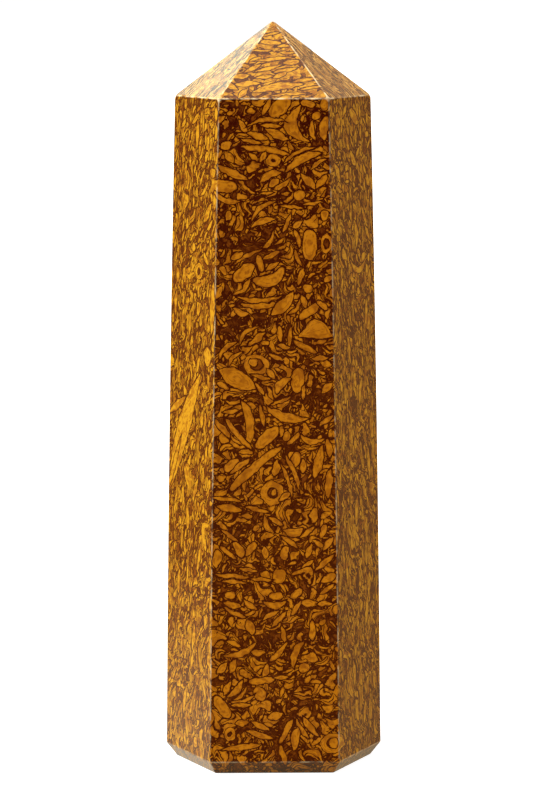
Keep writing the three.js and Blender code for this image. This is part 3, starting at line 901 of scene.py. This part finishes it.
def jasper_material(colours):
    """Polished jasper: a solid pattern of bent flakes in a dark ground."""
    material = bpy.data.materials.new("polished_jasper")
    material.use_nodes = True
    tree = material.node_tree
    tree.nodes.clear()
    coordinates = tree.nodes.new("ShaderNodeTexCoord")
    place = Flow(tree, coordinates.outputs["Object"]) * (1 / MM, 1 / MM, 1 / MM)
    x, _, z = place.parts()

    # The bedding sways and curls, and each outline is slightly ragged.
    own_place, on_side, on_point = on_faces(tree, place)
    sway = wander(tree, place, 0.11, 1.0, (2.4, 1.1, 2.4))
    ragged = wander(tree, place, 1.0, 3.0, (0.66, 0.66, 0.66))
    curl = wander(tree, place + 20.0, 0.35, 1.0, (2.6, 0.8, 2.6))
    bent = own_place + sway + curl + ragged

    # Flakes turn every way in the front and back faces. They mostly run upwards in the side
    # faces, and lie level in the point's front and back.
    swirl = noise(tree, place + 50.0, 0.11, 1.0) - 0.5
    across_bedding = on_side.most(on_point)
    side_of_point = on_point * on_side
    front_of_point = on_point - side_of_point
    flow = mixed(tree, "FLOAT", on_side, swirl.times_plus(*FRONT_HEADING),
                 swirl.times_plus(*SIDE_HEADING))
    flow = mixed(tree, "FLOAT", side_of_point, flow, swirl.times_plus(*SIDE_FACET_HEADING))
    flow = mixed(tree, "FLOAT", front_of_point, flow, swirl.times_plus(*FACET_HEADING))
    scatter = mixed(tree, "FLOAT", across_bedding, *SCATTER) - side_of_point * SIDE_FACET_ORDER
    slimness = mixed(tree, "FLOAT", across_bedding, *SLIMNESS)
    bent, depth, mark = lay_layers(tree, bent, flow, scatter, slimness)

    # Growth lines run along some flakes. Dark pools thin the flakes out, most of all in the
    # front and back faces. The point has the most flakes.
    tone, along, aside = mark.parts()
    lines = noise(tree, vector_of(tree, along * 0.35, aside * 3.2, tone * 40.0), 1.0, 2.0)
    depth = depth.least((lines - 0.36) * 1.6)
    pools = noise(tree, place, 0.22, 2.0).eased(0.52, 0.85, 0.0, 0.2)
    pools = mixed(tree, "FLOAT", across_bedding, pools, pools * 0.3 - 0.015)
    richer = side_of_point * x.below(0.0).times_plus(0.02, 0.01)
    depth = depth - pools + front_of_point.times_plus(0.035, richer)

    # The layers' place counts for nothing here, and only makes a renderer end them first.
    here = place + ragged + bent * 0.0
    for flakes, sideways, upwards, outwards, level in FLAKED_FACES:
        own = lay_flakes(tree, here.dot(sideways), here.dot(upwards), depth, flakes)
        depth = mixed(tree, "FLOAT", here.dot(outwards).above(level), depth, own)
    body = jasper_colour(tree, colours, place, depth, across_bedding, side_of_point)

    # The arrises are bruised in patches. Their pale colour is part bruising, part painted
    # highlight along the rounded arrises.
    arris_wear_and_highlight = tree.nodes.new("ShaderNodeAttribute")
    arris_wear_and_highlight.attribute_name = ARRIS_WEAR_AND_HIGHLIGHT
    bruise_and_highlight_patches = noise(tree, place, 0.7, 2.0).eased(0.40, 0.64, 0.1, 1.0)
    bruised_and_highlighted = Flow(tree, arris_wear_and_highlight.outputs["Fac"]) * bruise_and_highlight_patches
    bruised_and_highlighted = bruised_and_highlighted * z.eased(*BRUISE_AND_HIGHLIGHT_RISE, SHAFT_BRUISE_AND_HIGHLIGHT, 1.0)
    body = mixed(tree, "RGBA", bruised_and_highlighted * 0.6, body, colours.worn)

    shader = tree.nodes.new("ShaderNodeBsdfPrincipled")
    feed(tree, shader.inputs["Base Color"], body)
    polish = noise(tree, place, 0.6, 3.0).eased(0.3, 0.8, 0.06, 0.13)
    feed(tree, shader.inputs["Roughness"], polish + bruised_and_highlighted * 0.2)
    shader.inputs["IOR"].default_value = JASPER_IOR
    bump = tree.nodes.new("ShaderNodeBump")
    bump.inputs["Strength"].default_value = LAPPING_STRENGTH
    bump.inputs["Distance"].default_value = LAPPING_DEPTH
    feed(tree, bump.inputs["Height"], noise(tree, place, 0.25, 2.0))
    tree.links.new(bump.outputs["Normal"], shader.inputs["Normal"])
    output = tree.nodes.new("ShaderNodeOutputMaterial")
    tree.links.new(shader.outputs["BSDF"], output.inputs["Surface"])
    return material


class JASPER_OT_tower(bpy.types.Operator):
    """Builds the polished stone in place of the plain solid"""

    bl_idname = "jasper.tower"
    bl_label = "Build Tower"

    def execute(self, context):
        scene = context.scene
        material = jasper_material(scene.jasper_colours)
        piece = make_tower_mesh(scene.tower_sizes, material)
        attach(piece, "root")
        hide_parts("tower")
        return {"FINISHED"}


# The studio

FLOOR_COLOUR = (0.46, 0.4565, 0.452, 1)
FLOOR_ROUGHNESS = 0.9
FLOOR_GLOW = 0.9  # lifts the floor to white for the camera alone
BACKDROP = (1.05, 1.05, 1.05)
CLIP_START, CLIP_END = 0.01, 20  # metres

# Each soft light's spread in degrees, the way that it shines, and its colour.
KEY_LIGHT = (50, (0.58, 0.14, -0.8), (0.97, 1.0, 0.92))
FILL_LIGHT = (60, (-0.85, 0.35, -0.35), (1.0, 0.85, 0.7))


def make_floor(size):
    """A plain pale floor that the tower stands on."""
    half = size / 2
    mesh = bpy.data.meshes.new("floor")
    mesh.from_pydata([(-half, -half, 0), (half, -half, 0), (half, half, 0), (-half, half, 0)],
                     [], [(0, 1, 2, 3)])
    floor = bpy.data.objects.new("floor", mesh)
    bpy.context.scene.collection.objects.link(floor)
    material = bpy.data.materials.new("pale_floor")
    material.use_nodes = True
    tree = material.node_tree
    shader = tree.nodes["Principled BSDF"]
    shader.inputs["Base Color"].default_value = FLOOR_COLOUR
    shader.inputs["Roughness"].default_value = FLOOR_ROUGHNESS
    shader.inputs["Emission Color"].default_value = (1, 1, 1, 1)
    path = tree.nodes.new("ShaderNodeLightPath")
    lift = Flow(tree, path.outputs["Is Camera Ray"]) * FLOOR_GLOW
    feed(tree, shader.inputs["Emission Strength"], lift)
    mesh.materials.append(material)
    floor.visible_glossy = False
    return floor


def make_sun(name, strength, angle, towards, colour):
    """A soft light that comes evenly from one side and leaves no glint of its own."""
    data = bpy.data.lights.new(name, "SUN")
    data.energy = strength
    data.angle = math.radians(angle)
    data.color = colour
    lamp = bpy.data.objects.new(name, data)
    lamp.rotation_mode = "QUATERNION"
    lamp.rotation_quaternion = Vector(towards).normalized().to_track_quat("-Z", "Y")
    lamp.visible_glossy = False
    bpy.context.scene.collection.objects.link(lamp)


# What the polish mirrors: the middle of each soft panel, the cosines at which it starts and
# is full, and its colour.
SOFT_PANELS = (
    ((0.0, 0.0, 1.0), 0.55, 0.90, (2.10, 1.50, 1.00)),
    ((-0.40, 0.75, 0.51), 0.80, 0.97, (1.45, 1.05, 0.28)),
    ((-0.335, 0.76, 0.562), 0.9900, 0.9955, (0.95, 1.72, 2.05)),
    ((0.40, 0.75, 0.51), 0.80, 0.97, (1.18, 0.80, 0.44)),
    ((-0.85, 0.52, -0.05), 0.75, 0.95, (0.75, 0.32, 0.06)),
    ((0.85, 0.52, -0.14), 0.75, 0.95, (0.66, 0.34, 0.12)),
    ((-0.80, 0.49, -0.34), 0.985, 0.998, (0.80, 0.75, 0.50)),
    ((-0.46, 0.73, -0.51), 0.86, 0.96, (1.20, 1.05, 0.80)),
    ((0.46, 0.73, -0.51), 0.86, 0.96, (0.55, 0.42, 0.25)),
    ((0.0, -0.20, -0.98), 0.86, 0.98, (0.70, 0.50, 0.25)),
    ((0.0, -0.955, -0.296), 0.955, 0.995, (0.42, 0.14, 0.01)),
)


def make_sky(strength):
    """White all round for the camera, and soft panels for the polish to reflect."""
    world = bpy.data.worlds.new("studio")
    bpy.context.scene.world = world
    world.use_nodes = True
    tree = world.node_tree
    tree.nodes.clear()
    coordinates = tree.nodes.new("ShaderNodeTexCoord")
    direction = Flow(tree, coordinates.outputs["Generated"])
    path = tree.nodes.new("ShaderNodeLightPath")
    for_camera = Flow(tree, path.outputs["Is Camera Ray"])
    for_polish = Flow(tree, path.outputs["Is Glossy Ray"])

    mirrored = direction * (0.0, 0.0, 0.0)
    for towards, edge, middle, colour in SOFT_PANELS:
        glow = direction.dot(tuple(Vector(towards).normalized())).eased(edge, middle)
        mirrored = mirrored + vector_of(tree, *(glow * part for part in colour))
    light = mixed(tree, "VECTOR", for_polish, (strength,) * 3, mirrored)
    light = mixed(tree, "VECTOR", for_camera, light, BACKDROP)

    shader = tree.nodes.new("ShaderNodeBackground")
    feed(tree, shader.inputs["Color"], light)
    output = tree.nodes.new("ShaderNodeOutputWorld")
    tree.links.new(shader.outputs[0], output.inputs["Surface"])


def make_camera(studio):
    """A camera at the photograph's place and angle."""
    data = bpy.data.cameras.new("camera")
    data.lens = studio.focal_pixels * SENSOR_SIZE / PHOTO_HEIGHT
    data.sensor_width = SENSOR_SIZE
    data.clip_start, data.clip_end = CLIP_START, CLIP_END
    camera = bpy.data.objects.new("camera", data)
    azimuth, distance = studio.camera_azimuth, studio.camera_distance
    camera.location = (distance * math.sin(azimuth), -distance * math.cos(azimuth),
                       studio.camera_height)
    camera.rotation_euler = (
        math.radians(90) - studio.camera_pitch, studio.camera_roll, studio.camera_heading)
    bpy.context.scene.collection.objects.link(camera)
    bpy.context.scene.camera = camera


class JASPER_OT_studio(bpy.types.Operator):
    """Sets up the floor, the soft light and the camera"""

    bl_idname = "jasper.studio"
    bl_label = "Set Up Studio"

    def execute(self, context):
        studio = context.scene.studio_settings
        make_floor(studio.floor_size)
        make_sun("key_light", studio.key_strength, *KEY_LIGHT)
        make_sun("fill_light", studio.fill_strength, *FILL_LIGHT)
        make_sky(studio.sky_strength)
        make_camera(studio)
        context.scene.view_settings.view_transform = "Standard"
        return {"FINISHED"}


class JASPER_PT_panel(bpy.types.Panel):
    """Lists what the add-on can build"""

    bl_idname = "JASPER_PT_panel"
    bl_label = "Jasper Tower"
    bl_space_type = "VIEW_3D"
    bl_region_type = "UI"
    bl_category = "Jasper Tower"

    def draw(self, context):
        for operator in OPERATORS:
            self.layout.operator(operator.bl_idname)
        for group in SETTINGS.values():
            settings = getattr(context.scene, group)
            for name in settings.__annotations__:
                self.layout.prop(settings, name)


OPERATORS = (JASPER_OT_tower, JASPER_OT_studio)
SETTINGS = {
    TowerSizes: "tower_sizes",
    JasperColours: "jasper_colours",
    StudioSettings: "studio_settings",
}


def register():
    for group, name in SETTINGS.items():
        bpy.utils.register_class(group)
        setattr(bpy.types.Scene, name, bpy.props.PointerProperty(type=group))
    for item in (*OPERATORS, JASPER_PT_panel):
        bpy.utils.register_class(item)


def unregister():
    for item in reversed((*OPERATORS, JASPER_PT_panel)):
        bpy.utils.unregister_class(item)
    for group, name in reversed(SETTINGS.items()):
        delattr(bpy.types.Scene, name)
        bpy.utils.unregister_class(group)


def main():
    register()
    bpy.ops.jasper.tower()
    bpy.ops.jasper.studio()


if __name__ == "__main__":
    main()
